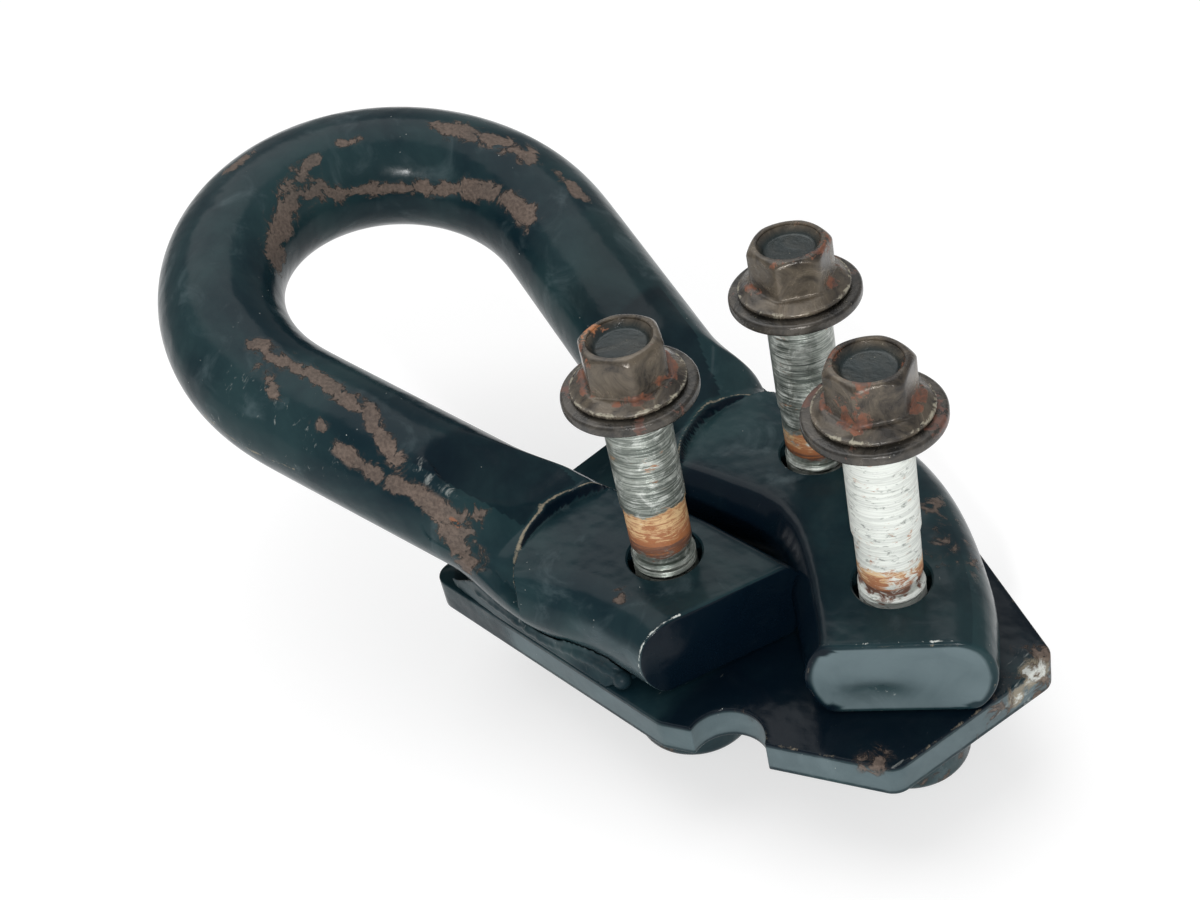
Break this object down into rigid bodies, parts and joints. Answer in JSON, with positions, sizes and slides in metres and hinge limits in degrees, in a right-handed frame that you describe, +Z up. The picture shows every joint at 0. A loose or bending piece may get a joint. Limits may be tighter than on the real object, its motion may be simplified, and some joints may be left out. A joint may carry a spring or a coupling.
{
  "type": "tow hook",
  "caption": "Bolt-on towing eye: a forged round-bar loop with two flattened pads on a welded base plate, flange bolts with captive washers, and threaded bosses under the plate.",
  "frame": {"origin": "seat point on the top face of the right pad, midway between its two bolt holes", "axes": "+Z up out of the pads' top faces towards the bolt heads; +X from the pads towards the eye; +Y towards the leg with the short pad"},
  "size_m": [0.2291, 0.1174, 0.108],
  "materials": {
    "paint": "semi-gloss, worn",
    "painted_weld": "semi-gloss",
    "washer_steel": "dull",
    "bolt_zinc": "worn zinc, rusted head"
  },
  "bodies": {
    "hook": {"tow_loop": "paint", "base_plate": "paint", "weld_left": "painted_weld", "weld_right": "painted_weld", "weld_boss_1": "paint", "weld_boss_2": "paint", "weld_boss_3": "paint", "ring_weld_1": "painted_weld", "ring_weld_2": "painted_weld", "ring_weld_3": "painted_weld"},
    "washer_1": {"washer_1": "washer_steel"},
    "bolt_1": {"bolt_1": "bolt_zinc"},
    "washer_2": {"washer_2": "washer_steel"},
    "bolt_2": {"bolt_2": "bolt_zinc"},
    "washer_3": {"washer_3": "washer_steel"},
    "bolt_3": {"bolt_3": "bolt_zinc"}
  },
  "joints": [
    {"name": "bolt_1_travel", "type": "slide", "parent": "hook", "child": "washer_1", "axis": [0, 0, 1], "range_m": [-0.032, 0.01]},
    {"name": "bolt_1_turn", "type": "hinge", "parent": "washer_1", "child": "bolt_1", "pos_m": [0.0238, 0.0326, 0], "axis": [0, 0, 1], "range_deg": [-5761, 1801]},
    {"name": "bolt_2_travel", "type": "slide", "parent": "hook", "child": "washer_2", "axis": [0, 0, 1], "range_m": [-0.03, 0.012]},
    {"name": "bolt_2_turn", "type": "hinge", "parent": "washer_2", "child": "bolt_2", "pos_m": [0.0194, -0.0116, 0], "axis": [0, 0, 1], "range_deg": [-5401, 2161]},
    {"name": "bolt_3_travel", "type": "slide", "parent": "hook", "child": "washer_3", "axis": [0, 0, 1], "range_m": [-0.03, 0.012]},
    {"name": "bolt_3_turn", "type": "hinge", "parent": "washer_3", "child": "bolt_3", "pos_m": [-0.0203, 0.0109, 0], "axis": [0, 0, 1], "range_deg": [-5401, 2161]}
  ],
  "couplings": [
    {"joint": "bolt_1_turn", "follows": "bolt_1_travel", "rad_per_m": 3141.6},
    {"joint": "bolt_2_turn", "follows": "bolt_2_travel", "rad_per_m": 3141.6},
    {"joint": "bolt_3_turn", "follows": "bolt_3_travel", "rad_per_m": 3141.6}
  ]
}
